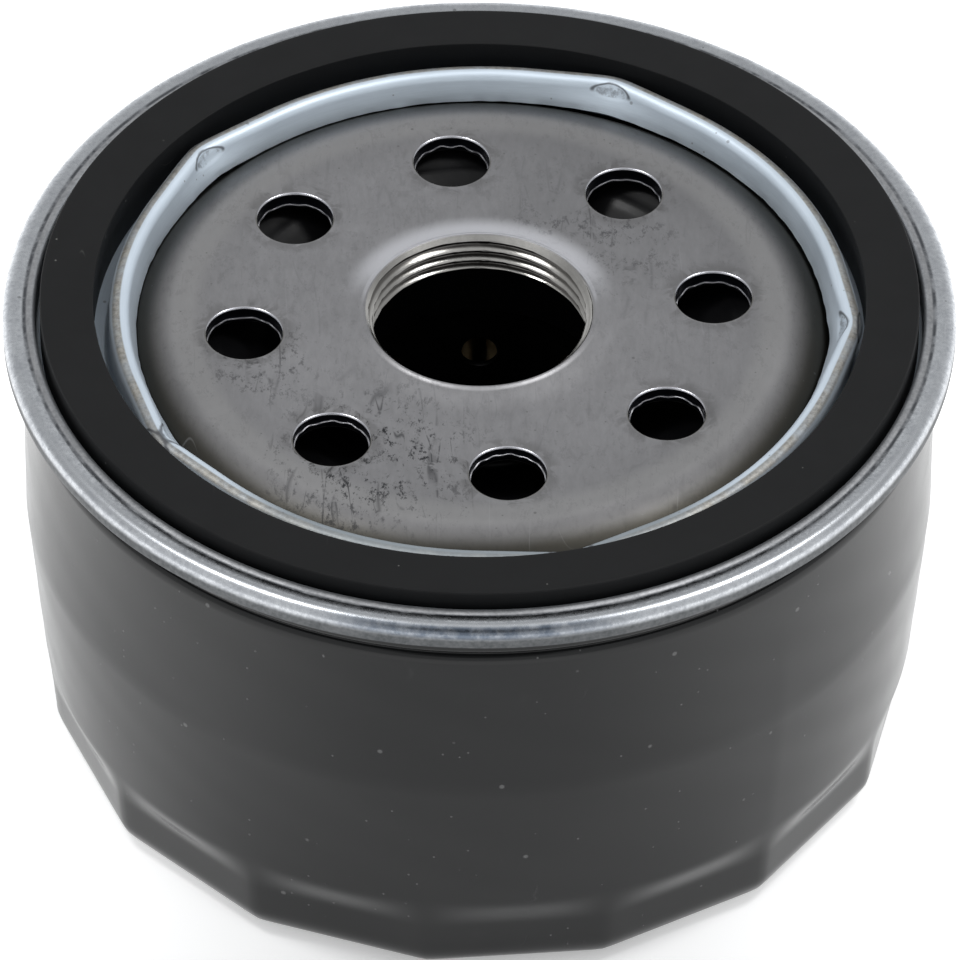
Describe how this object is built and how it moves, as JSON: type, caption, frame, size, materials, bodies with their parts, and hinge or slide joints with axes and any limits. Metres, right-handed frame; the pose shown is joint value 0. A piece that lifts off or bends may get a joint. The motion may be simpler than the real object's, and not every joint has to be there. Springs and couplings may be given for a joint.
{
  "type": "oil filter",
  "caption": "Short spin-on oil filter for a small engine: fluted steel can, rolled seam, square rubber gasket, and a threaded base plate ringed with inlet holes.",
  "frame": {"origin": "centre of the closed end's resting face", "axes": "+Z along the thread axis from the closed end to the gasket end; +X to the right when the filter is seen from its front"},
  "size_m": [0.076, 0.076, 0.042],
  "materials": {
    "can_paint": "semi-gloss charcoal paint on drawn steel",
    "zinc_plate": "bright blue-white zinc plating on thin sheet",
    "bare_steel": "bare pressed steel with a film of oil",
    "gasket_rubber": "satin black nitrile rubber",
    "valve_rubber": "oily black nitrile rubber",
    "tin_plate": "thin tin-plated steel",
    "dark_steel": "black phosphated steel, oily",
    "filter_paper": "resin-treated cellulose paper",
    "adhesive": "cured amber plastisol",
    "spring_steel": "drawn spring wire",
    "seam_sealant": "dried seaming compound"
  },
  "bodies": {
    "housing": {"can": "can_paint", "seaming_lid": "zinc_plate", "seam_compound": "seam_sealant", "base_plate": "bare_steel", "sealing_gasket": "gasket_rubber", "element_spring": "spring_steel"},
    "element": {"upper_end_cap": "tin_plate", "lower_end_cap": "tin_plate", "centre_tube": "dark_steel", "pleated_media": "filter_paper", "media_seam_clip": "tin_plate", "upper_potting": "adhesive", "lower_potting": "adhesive", "bypass_seat": "dark_steel", "bypass_cage": "dark_steel", "bypass_spring": "spring_steel", "spring_seat": "tin_plate"},
    "bypass_valve": {"bypass_disc": "dark_steel", "bypass_seal": "valve_rubber", "bypass_rivet": "spring_steel"},
    "drain_valve": {"anti_drain_valve": "valve_rubber"}
  },
  "joints": [
    {"name": "element_float", "type": "slide", "parent": "housing", "child": "element", "axis": [0, 0, -1], "range_m": [0, 0.0015], "stiffness_N_per_m": 5000, "springref_m": -0.002, "deforming": ["element_spring"]},
    {"name": "bypass_lift", "type": "slide", "parent": "element", "child": "bypass_valve", "axis": [0, 0, 1], "range_m": [0, 0.003], "stiffness_N_per_m": 300, "springref_m": -0.001, "deforming": ["bypass_spring"]},
    {"name": "drain_lip_lift", "type": "slide", "parent": "element", "child": "drain_valve", "axis": [0, 0, -1], "range_m": [0, 0.0015], "stiffness_N_per_m": 300, "springref_m": -0.001, "deforming": ["anti_drain_valve"]}
  ]
}
